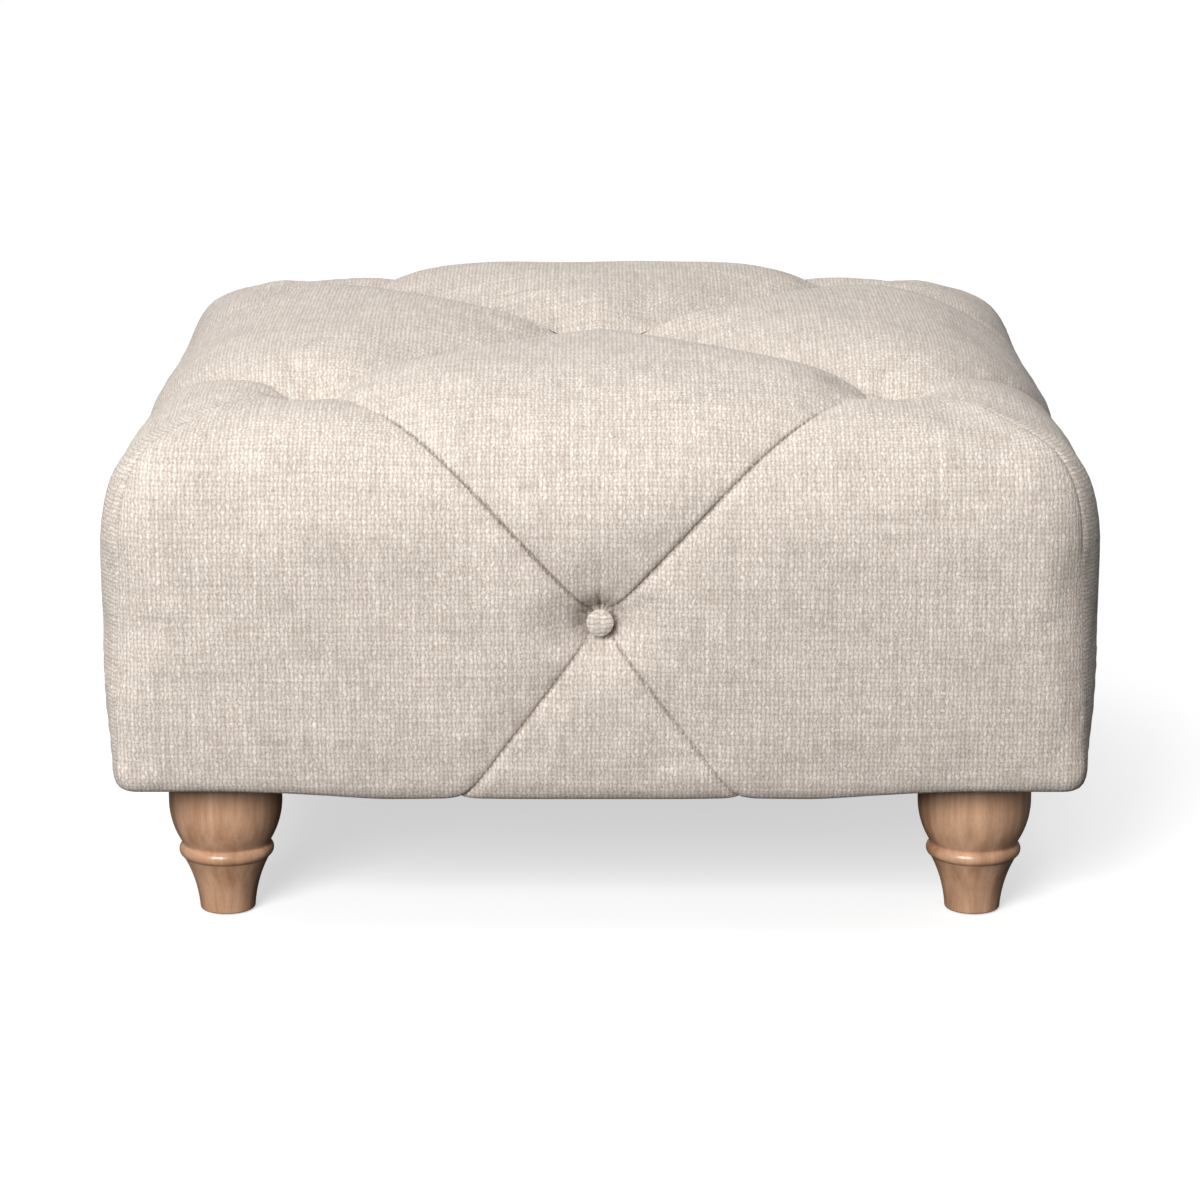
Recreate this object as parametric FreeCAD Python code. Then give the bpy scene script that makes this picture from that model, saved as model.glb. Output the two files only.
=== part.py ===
import FreeCAD, Part
import math
import os

from FreeCAD import Rotation, Vector

# A square, deep-buttoned footstool on four turned feet.
# Millimetres, X to the right, Y to the rear, Z up. The floor is Z = 0 and the
# origin is under the middle of the stool.

# Overall sizes
stool_width = 800.0
stool_height = 454.0

# Outer form of the padding
belly_height = 310.0
shoulder_reach = 250.0
shoulder_fullness = 2.85
crown_height = 2.5
corner_radius = 50.0
corner_slope = 140.0
corner_slope_power = 5.0
side_draw_in = 7.0
rim_depth = 9.0
rim_height = 11.0

# Feet
foot_height = 115.0
foot_inset = 43.0
foot_top_radius = 46.0
foot_bowl_radius = 47.0
foot_neck_radius = 36.4
foot_bead_radius = 39.3
foot_base_radius = 23.0
foot_base_rounding = 2.0
bead_bottom_height = 46.0
bead_top_height = 57.0
bowl_widest_height = 96.0

# Frame
frame_width = 708.0
post_side = 30.0
rail_thickness = 20.0
bottom_rail_height = 60.0
top_rail_height = 45.0
cross_rail_offset = 120.0
block_side = 120.0
block_thickness = 28.0
panel_thickness = 4.0
deck_thickness = 12.0

# Padding
top_padding = 120.0
top_foam_thickness = 60.0
top_foam_rounding = 22.0
side_foam_thickness = 10.0
side_foam_rounding = 25.0
fabric_thickness = 1.5
hem_width = 56.0
dust_cover_thickness = 0.8
dust_cover_margin = 12.0

# Buttons and tufting
button_diameter = 22.0
button_crown = 7.0
button_rim = 2.6
button_shank_diameter = 5.0
button_shank_length = 6.0
top_button_offset = 242.0
side_button_height = 265.0
top_button_depth = 42.0
side_button_depth = 15.0
well_seat_margin = 1.8
top_well_flare = 95.0
side_well_flare = 45.0
twine_diameter = 2.0
anchor_diameter = 20.0
anchor_thickness = 3.0
anchor_hole_diameter = 6.0

# Folds between the buttons: half widths and depths at start, middle and end
fold_step = 3.0
fold_rise = 2.5
fold_cap = 12.0
top_fold_half_width = 112.0
top_fold_depth = 26.0
edge_fold_half_width = 62.0
edge_fold_depth = 9.0
edge_fold_bow = 0.16
lower_fold_half_width = 24.0
lower_fold_depth = 3.0
lower_fold_spread = 114.0
lower_fold_overrun = 20.0

# How many sections the curved forms are drawn through
fold_stations = 7
section_steps = 60
side_sections = 3
shoulder_sections = 6

# Fasteners
glide_diameter = 20.0
glide_thickness = 2.5
glide_stand = 1.0
glide_rounding = 0.8
glide_nail_diameter = 2.4
glide_nail_length = 13.0
bolt_diameter = 8.0
bolt_depth_in_foot = 35.0
bolt_point = 6.0
bolt_stand = 2.0
tee_nut_flange_diameter = 20.0
tee_nut_flange_thickness = 1.6
tee_nut_barrel_diameter = 10.6
tee_nut_barrel_length = 11.0
screw_diameter = 4.0
screw_head_diameter = 8.0
screw_point = 5.0
frame_screw_length = 60.0
block_screw_length = 45.0
deck_screw_length = 35.0
deck_screw_spacing = 180.0
pin_diameter = 1.6
pin_length = 20.0
pin_spacing = 180.0
staple_crown = 11.0
staple_leg = 10.0
staple_width = 1.2
staple_gauge = 0.6
staple_spacing = 70.0
hem_staples_per_side = 9
dust_cover_staples_per_side = 8

# Clearances
fit_gap = 0.3

# Levels and faces worked out from the sizes above
half_width = stool_width / 2
foot_top = glide_stand + foot_height
hem_bottom = foot_top + dust_cover_thickness
frame_bottom = hem_bottom + fabric_thickness
deck_top = stool_height - top_padding
frame_top = deck_top - deck_thickness
frame_half = frame_width / 2
post_inner = frame_half - post_side
rail_inner = frame_half - rail_thickness
rail_middle = frame_half - rail_thickness / 2
panel_face = frame_half + panel_thickness
foam_face = panel_face + side_foam_thickness
foot_axis = frame_half - foot_inset
block_top = frame_bottom + block_thickness
foam_top = deck_top + top_foam_thickness
well_seat_radius = button_diameter / 2 + well_seat_margin
shank_hole_radius = button_shank_diameter / 2 + fit_gap
bolt_hole_radius = bolt_diameter / 2 + fit_gap

origin = Vector(0, 0, 0)
up = Vector(0, 0, 1)
front = Vector(0, -1, 0)
right = Vector(1, 0, 0)


def box(x, y, z):
    """A box from three (low, high) pairs."""
    return Part.makeBox(x[1] - x[0], y[1] - y[0], z[1] - z[0], Vector(x[0], y[0], z[0]))


def rod(radius, base, direction, length):
    """A round rod from a base point along a direction."""
    return Part.makeCylinder(radius, length, base, direction)


def turned(shape, quarters):
    """A copy of a shape after so many quarter turns about the stool's axis."""
    copy = shape.copy()
    copy.rotate(origin, up, 90 * quarters)
    return copy


def four_turns(shape):
    """The four copies of a shape, a quarter turn apart."""
    return [turned(shape, i) for i in range(4)]


def revolved(edges):
    """A solid of revolution about Z from a closed loop of edges in the XZ plane."""
    return Part.Face(Part.Wire(edges)).revolve(origin, up, 360)


def line(a, b):
    return Part.LineSegment(a, b).toShape()


def arc(a, through, b):
    return Part.Arc(a, through, b).toShape()


def placed(shape, point, direction):
    """A shape drawn along Z, moved to a point and aimed along a direction."""
    copy = shape.copy()
    copy.Placement = FreeCAD.Placement(point, Rotation(up, direction)).multiply(copy.Placement)
    return copy


def cut_where_met(shape, tools):
    """A shape cut by those of the tools whose boxes reach it."""
    met = [tool for tool in tools if tool.BoundBox.intersect(shape.BoundBox)]
    return shape.cut(met) if met else shape


# The outer form of the padding: rounded squares stacked up the sides and over the shoulder

def rounded_square(half, radius, z):
    """A square wire with rounded corners at a height."""
    corner = radius * (1 - math.sqrt(0.5))
    edges = []
    for i in range(4):
        turn = Rotation(up, 90 * i)
        side_start = turn.multVec(Vector(half, radius - half, z))
        side_end = turn.multVec(Vector(half, half - radius, z))
        corner_middle = turn.multVec(Vector(half - corner, half - corner, z))
        corner_end = turn.multVec(Vector(half - radius, half, z))
        edges.append(line(side_start, side_end))
        edges.append(arc(side_end, corner_middle, corner_end))
    return Part.Wire(edges)


def rounded_block(half, radius, bottom, top):
    """A square block with its upright and top edges rounded alike."""
    block = box((-half, half), (-half, half), (bottom - radius, top))
    edges = [e for e in block.Edges if e.BoundBox.ZLength > 1 or e.BoundBox.ZMin > top - 1]
    block = block.makeFillet(radius, edges)
    return block.common(box((-2 * half, 2 * half), (-2 * half, 2 * half), (bottom, top + 1)))


def draw_in(z):
    """How far the side lies inside its widest line at a height."""
    below = max(0.0, belly_height - z) / (belly_height - hem_bottom)
    return side_draw_in * below * below


def shoulder_point(share):
    """Half width and height on the shoulder, from the belly at 0 to the flat top at 1.

    The shoulder is a superellipse, whose crest would lie a little above the flat top.
    """
    power = 2 / shoulder_fullness
    rise = stool_height + crown_height - belly_height
    last_angle = math.acos(((stool_height - belly_height) / rise) ** (1 / power))
    angle = math.pi / 2 - (math.pi / 2 - last_angle) * share
    half = half_width - shoulder_reach * (1 - math.sin(angle) ** power)
    return half, belly_height + rise * math.cos(angle) ** power


def section_line():
    """The upright section from the hem's rim to the middle of the top, as (half width, height)."""
    steps = section_steps
    side_bottom = hem_bottom + rim_height
    side = [side_bottom + (belly_height - side_bottom) * i / steps for i in range(steps)]
    points = [(half_width - draw_in(z), z) for z in side]
    points += [shoulder_point(i / steps) for i in range(steps + 1)]
    return points + [(0.0, stool_height)]


def section_runs(points):
    """The length run along the section to each of its points."""
    runs = [0.0]
    for before, after in zip(points, points[1:]):
        runs.append(runs[-1] + math.dist(before, after))
    return runs


def section_place(run):
    """Half width and height at a length run along the section, held to its ends."""
    points = section_line()
    runs = section_runs(points)
    run = min(max(run, 0.0), runs[-1])
    i = max(k for k in range(len(runs) - 1) if runs[k] <= run)
    share = (run - runs[i]) / (runs[i + 1] - runs[i])
    return tuple(a + (b - a) * share for a, b in zip(points[i], points[i + 1]))


def run_where(test):
    """The length run to the first point of the section that passes a test."""
    points = section_line()
    return next(run for run, point in zip(section_runs(points), points) if test(point))


def front_point(x, run, inset):
    """A point on the front of the form, moved in by an inset, and its outward normal."""
    half, height = section_place(run)
    half_before, height_before = section_place(run - 1)
    half_after, height_after = section_place(run + 1)
    normal = Vector(0, height_before - height_after, half_before - half_after)
    normal.normalize()
    return Vector(x, -half, height) - normal * inset, normal


def plan_radius(z):
    """The plan's corner radius, which grows towards the top so that the corners fall away."""
    above = max(0.0, z - belly_height) / (stool_height - belly_height)
    return corner_radius - draw_in(z) + corner_slope * above ** corner_slope_power


def plain_quarter(inset, floor):
    """The front right quarter of the untufted form, its faces moved in by an inset.

    One stack of sections runs up the side and over the shoulder, and another round the
    rim at the bottom.
    """
    rim_top = hem_bottom + rim_height
    sections = []
    for i in range(side_sections):
        z = rim_top + (belly_height - rim_top) * i / side_sections
        sections.append((half_width - draw_in(z), z, z))
    for i in range(shoulder_sections + 1):
        half, z = shoulder_point(i / shoulder_sections)
        sections.append((half, z, z - inset * i / shoulder_sections))
    body = Part.makeLoft([rounded_square(half - inset, plan_radius(z) - inset, level)
                          for half, z, level in sections], True)
    rim = []
    for angle in (0, math.pi / 4, math.pi / 2):
        inwards = draw_in(rim_top) + inset + (rim_depth - inset) * (1 - math.sin(angle))
        level = floor + (rim_top - floor) * (1 - math.cos(angle))
        rim.append(rounded_square(half_width - inwards, corner_radius - inwards, level))
    whole = body.fuse(Part.makeLoft(rim, True))
    return whole.common(box((0, stool_width), (-stool_width, 0), (0, 2 * stool_height)))


def three_values(start, middle, end, s):
    """A smooth value that takes the three given ones at s = 0, 1/2 and 1."""
    return start * (1 - s) * (1 - 2 * s) + middle * 4 * s * (1 - s) + end * s * (2 * s - 1)


def groove_arc(half_width_here, depth, inset):
    """Radius and depth of the round wall of a fold or well, for an inset surface.

    The wall is an arc that starts level at the rim. An inset surface keeps the
    arc's centre, so the fabric keeps its thickness round the fold.
    """
    full_depth = depth + fold_rise
    radius = (half_width_here ** 2 + full_depth ** 2) / (2 * full_depth) - inset
    return radius, full_depth


def fold_section(point, normal, across, half_width_here, depth, inset):
    """The section of a fold: two round walls that meet in a crease, under a low cap."""
    radius, _ = groove_arc(half_width_here, depth, inset)
    wall_depth = radius - math.sqrt(radius ** 2 - half_width_here ** 2)
    middle_angle = (math.pi / 2 + math.asin((radius - wall_depth) / radius)) / 2
    reach = half_width_here - radius * math.cos(middle_angle)
    height = fold_rise - radius + radius * math.sin(middle_angle)
    left = point - across * half_width_here + normal * fold_rise
    right_rim = point + across * half_width_here + normal * fold_rise
    crease = point + normal * (fold_rise - wall_depth)
    left_wall = arc(left, point - across * reach + normal * height, crease)
    right_wall = arc(crease, point + across * reach + normal * height, right_rim)
    cap = arc(right_rim, point + normal * (fold_rise + fold_cap), left)
    return Part.Wire([left_wall, right_wall, cap])


def fold(route, half_widths, depths, inset):
    """The space of one fold, lofted along a route that gives point and normal."""
    sections = []
    step = 0.01
    for i in range(fold_stations):
        s = i / (fold_stations - 1)
        point, normal = route(s)
        along = route(min(1.0, s + step))[0] - route(max(0.0, s - step))[0]
        across = along.cross(normal)
        across.normalize()
        half_width_here = three_values(*half_widths, s)
        depth = three_values(*depths, s)
        sections.append(fold_section(point, normal, across, half_width_here, depth, inset))
    return Part.makeLoft(sections, True)


def well(point, normal, depth, flare, inset):
    """The space above a button: a flat seat and a round wall that flares to the surface."""
    radius, full_depth = groove_arc(flare, depth, inset)
    rim_radius = well_seat_radius + flare
    seat_radius = rim_radius - math.sqrt(flare ** 2 - 2 * inset * full_depth)
    middle_angle = (math.pi / 2 + math.asin((radius - full_depth) / radius)) / 2
    seat_middle = Vector(0, 0, -depth)
    seat_edge = Vector(seat_radius, 0, -depth)
    wall_middle = Vector(rim_radius - radius * math.cos(middle_angle), 0,
                         fold_rise - radius + radius * math.sin(middle_angle))
    rim = Vector(rim_radius, 0, fold_rise)
    rim_middle = Vector(0, 0, fold_rise)
    space = revolved([line(seat_middle, seat_edge), arc(seat_edge, wall_middle, rim),
                      line(rim, rim_middle), line(rim_middle, seat_middle)])
    return placed(space, point, normal)


def top_point(x, y, inset):
    return Vector(x, y, stool_height - inset)


def centre_route(inset):
    """From the centre button to the front right one, over the top."""
    def route(s):
        return top_point(top_button_offset * s, -top_button_offset * s, inset), up
    return route


def edge_route(side, inset):
    """From the front button, over the top edge, to a front top button."""
    start = run_where(lambda point: point[1] >= side_button_height)
    end = run_where(lambda point: point[1] > belly_height and point[0] <= top_button_offset)

    def route(s):
        x = side * top_button_offset * s * (1 + edge_fold_bow * (1 - s))
        return front_point(x, start + (end - start) * s, inset)
    return route


def lower_route(side, inset):
    """From the front button down to the bottom edge and past it."""
    drop = side_button_height - hem_bottom + lower_fold_overrun

    def route(s):
        z = side_button_height - drop * s
        return Vector(side * lower_fold_spread * s, inset + draw_in(z) - half_width, z), front
    return route


def tufted_quarter(inset, floor):
    """The front right quarter of the form with its wells and folds."""
    top_seat = top_button_depth - fold_step
    side_seat = side_button_depth - fold_step
    spaces = [
        well(top_point(0, 0, inset), up, top_button_depth, top_well_flare, inset),
        well(top_point(top_button_offset, -top_button_offset, inset), up,
             top_button_depth, top_well_flare, inset),
        well(Vector(0, inset - half_width, side_button_height), front,
             side_button_depth, side_well_flare, inset),
        well(Vector(half_width - inset, 0, side_button_height), right,
             side_button_depth, side_well_flare, inset),
        fold(centre_route(inset), (top_well_flare, top_fold_half_width, top_well_flare),
             (top_seat, top_fold_depth, top_seat), inset),
    ]
    for side, quarters in ((1, 0), (-1, 1)):
        over = fold(edge_route(side, inset), (side_well_flare, edge_fold_half_width, top_well_flare),
                    (side_seat, edge_fold_depth, top_seat), inset)
        below = fold(lower_route(side, inset),
                     (side_well_flare, (side_well_flare + lower_fold_half_width) / 2,
                      lower_fold_half_width),
                     (side_seat, (side_seat + lower_fold_depth) / 3, lower_fold_depth), inset)
        spaces += [turned(over, quarters), turned(below, quarters)]
    form = plain_quarter(inset, floor)
    for space in spaces:
        form = form.cut(space)
    return form


def whole_from_quarter(quarter):
    """Four turned copies of a quarter, joined into one solid."""
    copies = four_turns(quarter)
    return copies[0].fuse(copies[1:]).removeSplitter()


# Buttons, their twines and the holes that these pass through

def button_places():
    """Each button's name, seat centre and outward direction."""
    top_seat = stool_height - top_button_depth
    side_seat = half_width - side_button_depth
    places = [("top_button_centre", Vector(0, 0, top_seat), up)]
    rows = (("front", -1), ("rear", 1))
    columns = (("left", -1), ("right", 1))
    for row, y in rows:
        for column, x in columns:
            seat = Vector(x * top_button_offset, y * top_button_offset, top_seat)
            places.append((f"top_button_{row}_{column}", seat, up))
    for i, side in enumerate(("front", "right", "rear", "left")):
        turn = Rotation(up, 90 * i)
        seat = turn.multVec(Vector(0, -side_seat, side_button_height))
        places.append((f"{side}_button", seat, turn.multVec(front)))
    return places


def covered_button():
    """A domed, covered button with a shank behind it, its back at Z = 0."""
    radius = button_diameter / 2
    shank = button_shank_diameter / 2
    back = radius - 1
    shoulder = radius - 0.6
    top = Vector(0, 0, button_crown)
    rise = button_crown - button_rim
    dome_radius = (shoulder ** 2 + rise ** 2) / (2 * rise)
    half_angle = math.asin(shoulder / dome_radius) / 2
    dome_middle = Vector(dome_radius * math.sin(half_angle), 0,
                         button_crown - dome_radius * (1 - math.cos(half_angle)))
    return revolved([
        line(Vector(0, 0, -button_shank_length), Vector(shank, 0, -button_shank_length)),
        line(Vector(shank, 0, -button_shank_length), Vector(shank, 0, 0)),
        line(Vector(shank, 0, 0), Vector(back, 0, 0)),
        arc(Vector(back, 0, 0), Vector(radius, 0, button_rim / 2), Vector(shoulder, 0, button_rim)),
        arc(Vector(shoulder, 0, button_rim), dome_middle, top),
        line(top, Vector(0, 0, -button_shank_length)),
    ])


def twine_run(seat, direction):
    """Where a button's twine starts and how long it is, to the back of deck or panel."""
    start = seat - direction * button_shank_length
    if direction.z > 0.5:
        return start, start.z - frame_top
    return start, start.dot(direction) - frame_half


def twine_hole(seat, direction, radius):
    """A hole for shank and twine, from just above the seat to behind deck or panel."""
    start, length = twine_run(seat, direction)
    mouth = start + direction * (button_shank_length + fit_gap)
    return rod(radius, mouth, -direction, length + button_shank_length + 2 * fit_gap)


def make_buttons():
    pattern = covered_button()
    return {name: placed(pattern, seat, direction) for name, seat, direction in button_places()}


def make_twines_and_anchors():
    """A twine behind each button and the disc that it is tied to."""
    twines = []
    anchors = []
    for _, seat, direction in button_places():
        start, length = twine_run(seat, direction)
        back = start - direction * length
        twines.append(rod(twine_diameter / 2, start, -direction, length))
        anchors.append(rod(anchor_diameter / 2, back, -direction, anchor_thickness))
    return {"button_twines": Part.makeCompound(twines), "twine_anchors": Part.makeCompound(anchors)}


# Fasteners: each is drawn once, and drawn again a gap larger for its hole

def screw(length, gap=0.0):
    """A countersunk wood screw, its head at Z = 0 and its point below."""
    head = screw_head_diameter / 2 + gap
    shank = screw_diameter / 2 + gap
    head_depth = (screw_head_diameter - screw_diameter) / 2
    tip = -length - gap
    points = [Vector(0, 0, 0), Vector(head, 0, 0), Vector(shank, 0, -head_depth),
              Vector(shank, 0, screw_point - length), Vector(0, 0, tip)]
    return revolved([line(a, b) for a, b in zip(points, points[1:] + points[:1])])


def frame_screw_places():
    """Head centre, outward direction and length of each screw through posts and rails."""
    places = []
    bands = ((frame_bottom, bottom_rail_height), (frame_top - top_rail_height, top_rail_height))
    for bottom, height in bands:
        for quarters in range(4):
            turn = Rotation(up, 90 * quarters)
            shares = (0.25, 0.75) if quarters % 2 == 0 else (0.4, 0.6)
            for share in shares:
                for end in (-1, 1):
                    head = Vector(end * frame_half, -rail_middle, bottom + height * share)
                    places.append((turn.multVec(head), turn.multVec(Vector(end, 0, 0)),
                                   frame_screw_length))
    for quarters in range(4):
        turn = Rotation(up, 90 * quarters)
        for end in (-1, 1):
            head = Vector(end * (rail_inner - block_side * 0.7), -frame_half,
                          frame_bottom + block_thickness / 2)
            places.append((turn.multVec(head), turn.multVec(front), block_screw_length))
    return places


def deck_screw_places():
    """Screws down through the deck into the top rails and the cross rails."""
    heads = []
    for i in range(4):
        turn = Rotation(up, 90 * i)
        for x in (-deck_screw_spacing, 0, deck_screw_spacing):
            heads.append(turn.multVec(Vector(x, -rail_middle, deck_top)))
    for x in (-cross_rail_offset, cross_rail_offset):
        for y in (-deck_screw_spacing, deck_screw_spacing):
            heads.append(Vector(x, y, deck_top))
    return [(head, up, deck_screw_length) for head in heads]


def pin_places():
    """Outer ends and directions of the pins through each panel into its rails."""
    places = []
    heights = (frame_bottom + bottom_rail_height * 0.7, frame_top - top_rail_height / 2)
    for i in range(4):
        turn = Rotation(up, 90 * i)
        for z in heights:
            for k in (-1.5, -0.5, 0.5, 1.5):
                outer = Vector(k * pin_spacing, -panel_face, z)
                places.append((turn.multVec(outer), turn.multVec(front)))
    return places


def staple(x, y, z, leg):
    """A staple along X with its crown at a height and its legs upwards."""
    half = staple_crown / 2
    depth = (y - staple_width / 2, y + staple_width / 2)
    crown = box((x - half, x + half), depth, (z, z + staple_gauge))
    legs = [box((x + a, x + a + staple_gauge), depth, (z, z + leg))
            for a in (-half, half - staple_gauge)]
    return crown.fuse(legs).removeSplitter()


def staple_row(count, z):
    """Staples in a row under each of the four sides, evenly spaced."""
    first = -(count - 1) / 2 * staple_spacing
    row = [staple(first + i * staple_spacing, -rail_middle, z, staple_leg) for i in range(count)]
    return [turned(one, i) for one in row for i in range(4)]


# Feet, glides, bolts and nuts, drawn on the axis and placed at each corner

def foot():
    """The turned foot: a bowl over a neck and a bead, and a hollow taper to the base."""
    base = foot_base_radius
    rounding = foot_base_rounding
    recess_depth = glide_thickness - glide_stand
    taper_middle = Vector(base + 3.6, 0, bead_bottom_height * 0.5)
    taper_end = Vector(foot_neck_radius - 0.6, 0, bead_bottom_height)
    bead_start = Vector(foot_neck_radius, 0, bead_bottom_height + 0.6)
    bead_middle = Vector(foot_bead_radius, 0, (bead_bottom_height + bead_top_height) / 2)
    bead_end = Vector(foot_neck_radius, 0, bead_top_height)
    bowl_start = Vector(foot_neck_radius, 0, bead_top_height + 1.5)
    bowl_middle = Vector((foot_neck_radius + foot_bowl_radius) / 2 + 2.8, 0,
                         (bead_top_height + bowl_widest_height) / 2)
    bowl_end = Vector(foot_bowl_radius, 0, bowl_widest_height)
    top_edge = Vector(foot_top_radius, 0, foot_height)
    shoulder_middle = Vector(foot_bowl_radius - 0.2, 0, (bowl_widest_height + foot_height) / 2)
    rounding_middle = rounding * (1 - math.sqrt(0.5))
    body = revolved([
        line(origin, Vector(base - rounding, 0, 0)),
        arc(Vector(base - rounding, 0, 0), Vector(base - rounding_middle, 0, rounding_middle),
            Vector(base, 0, rounding)),
        arc(Vector(base, 0, rounding), taper_middle, taper_end),
        line(taper_end, bead_start),
        arc(bead_start, bead_middle, bead_end),
        line(bead_end, bowl_start),
        arc(bowl_start, bowl_middle, bowl_end),
        arc(bowl_end, shoulder_middle, top_edge),
        line(top_edge, Vector(0, 0, foot_height)),
        line(Vector(0, 0, foot_height), origin),
    ])
    recess = rod(glide_diameter / 2 + fit_gap, origin, up, recess_depth)
    nail_hole = rod(glide_nail_diameter / 2 + fit_gap, origin, up,
                    recess_depth + glide_nail_length + fit_gap)
    bolt_hole = rod(bolt_hole_radius, Vector(0, 0, foot_height), -up, bolt_depth_in_foot + fit_gap)
    body = body.cut([recess, nail_hole, bolt_hole])
    body.translate(Vector(0, 0, glide_stand))
    return body


def glide():
    """A nail-on glide: a disc with a rounded lower edge and its nail."""
    disc = rod(glide_diameter / 2, origin, up, glide_thickness)
    lower = [e for e in disc.Edges if e.BoundBox.ZMax < glide_thickness / 2]
    disc = disc.makeFillet(glide_rounding, lower)
    nail = rod(glide_nail_diameter / 2, Vector(0, 0, glide_thickness), up, glide_nail_length)
    return disc.fuse(nail)


def hanger_bolt():
    """The bolt that is screwed into the foot and held by the nut above the block."""
    radius = bolt_diameter / 2
    bottom = foot_top - bolt_depth_in_foot
    top = block_top + tee_nut_flange_thickness + bolt_stand
    points = [Vector(0, 0, bottom), Vector(radius, 0, bottom + bolt_point),
              Vector(radius, 0, top), Vector(0, 0, top)]
    return revolved([line(a, b) for a, b in zip(points, points[1:] + points[:1])])


def tee_nut():
    """A flange on the corner block and a barrel inside it."""
    barrel = rod(tee_nut_barrel_diameter / 2, Vector(0, 0, block_top), -up, tee_nut_barrel_length)
    flange = rod(tee_nut_flange_diameter / 2, Vector(0, 0, block_top), up, tee_nut_flange_thickness)
    bore = rod(bolt_hole_radius, Vector(0, 0, foot_top), up, foot_height)
    return barrel.fuse(flange).cut(bore)


def corner_places():
    """Name and centre of each foot."""
    places = []
    for row, y in (("front", -1), ("rear", 1)):
        for column, x in (("left", -1), ("right", 1)):
            places.append((f"{row}_{column}", Vector(x * foot_axis, y * foot_axis, 0)))
    return places


def make_feet():
    pieces = {}
    bolts = []
    nuts = []
    for name, place in corner_places():
        pieces[f"{name}_foot"] = placed(foot(), place, up)
        pieces[f"{name}_glide"] = placed(glide(), place, up)
        bolts.append(placed(hanger_bolt(), place, up))
        nuts.append(placed(tee_nut(), place, up))
    pieces["hanger_bolts"] = Part.makeCompound(bolts)
    pieces["tee_nuts"] = Part.makeCompound(nuts)
    return pieces


# The frame

def make_frame():
    """Posts, rails, corner blocks, cross rails, deck and side panels, before their holes."""
    pieces = {}
    sides = ("front", "right", "rear", "left")
    corners = ("front_right", "rear_right", "rear_left", "front_left")
    rail_y = (-frame_half, -rail_inner)
    post_span = (post_inner, frame_half)
    post_y = (-frame_half, -post_inner)
    block_span = (rail_inner - block_side, rail_inner)
    block_y = (-rail_inner, block_side - rail_inner)
    post = box(post_span, post_y, (frame_bottom, frame_top))
    block = box(block_span, block_y, (frame_bottom, block_top)).cut(post)
    barrel_hole = rod(tee_nut_barrel_diameter / 2 + fit_gap, Vector(foot_axis, -foot_axis, block_top),
                      -up, tee_nut_barrel_length + fit_gap)
    bolt_hole = rod(bolt_hole_radius, Vector(foot_axis, -foot_axis, 0), up, block_top)
    block = block.cut([barrel_hole, bolt_hole])
    rail_span = (-post_inner, post_inner)
    bottom_rail = box(rail_span, rail_y, (frame_bottom, frame_bottom + bottom_rail_height))
    top_rail = box(rail_span, rail_y, (frame_top - top_rail_height, frame_top))
    for i, side in enumerate(sides):
        pieces[f"{side}_bottom_rail"] = turned(bottom_rail, i)
        pieces[f"{side}_top_rail"] = turned(top_rail, i)
        panel_half = panel_face if i % 2 == 0 else frame_half
        panel = box((-panel_half, panel_half), (-panel_face, -frame_half), (frame_bottom, deck_top))
        pieces[f"{side}_panel"] = turned(panel, i)
    for i, corner in enumerate(corners):
        pieces[f"{corner}_post"] = turned(post, i)
        pieces[f"{corner}_corner_block"] = turned(block, i)
    for name, side in (("left", -1), ("right", 1)):
        middle = side * cross_rail_offset
        pieces[f"{name}_cross_rail"] = box(
            (middle - rail_thickness / 2, middle + rail_thickness / 2),
            (-rail_inner, rail_inner), (frame_top - top_rail_height, frame_top))
    deck_span = (-frame_half, frame_half)
    pieces["deck"] = box(deck_span, deck_span, (frame_top, deck_top))
    return pieces


def make_fasteners():
    """Screws, pins and staples, and the holes of the first two."""
    holes = []
    frame_screws = []
    deck_screws = []
    pins = []
    for places, group in ((frame_screw_places(), frame_screws), (deck_screw_places(), deck_screws)):
        for head, direction, length in places:
            group.append(placed(screw(length), head, direction))
            holes.append(placed(screw(length, fit_gap), head, direction))
    for outer, direction in pin_places():
        pins.append(rod(pin_diameter / 2, outer, -direction, pin_length))
        holes.append(rod(pin_diameter / 2 + fit_gap, outer, -direction, pin_length + fit_gap))
    hem_staples = staple_row(hem_staples_per_side, hem_bottom)
    dust_staples = staple_row(dust_cover_staples_per_side, foot_top)
    groups = {
        "frame_screws": frame_screws,
        "deck_screws": deck_screws,
        "panel_pins": pins,
        "hem_staples": hem_staples,
        "dust_cover_staples": dust_staples,
    }
    pieces = {name: Part.makeCompound(group) for name, group in groups.items()}
    return pieces, holes, hem_staples + dust_staples


# Foam, fibre padding, cover and dust cover

def rounded_prism(half, radius, bottom, top):
    """An upright square block with rounded corners."""
    return Part.Face(rounded_square(half, radius, bottom)).extrude(Vector(0, 0, top - bottom))


def make_foam(twine_holes):
    """The top block and the four side pads around the frame."""
    top = rounded_block(panel_face, top_foam_rounding, deck_top, foam_top)
    ring = rounded_prism(foam_face, side_foam_rounding, frame_bottom, deck_top)
    ring = ring.cut(box((-panel_face, panel_face), (-panel_face, panel_face), (0, stool_height)))
    reach = (-stool_width, stool_width)
    level = (0, stool_height)
    pads = {
        "front_foam": box(reach, (-stool_width, -panel_face), level),
        "rear_foam": box(reach, (panel_face, stool_width), level),
        "left_foam": box((-stool_width, -panel_face), (-panel_face, panel_face), level),
        "right_foam": box((panel_face, stool_width), (-panel_face, panel_face), level),
    }
    pieces = {name: cut_where_met(ring.common(region), twine_holes) for name, region in pads.items()}
    pieces["top_foam"] = cut_where_met(top, twine_holes)
    return pieces


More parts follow.
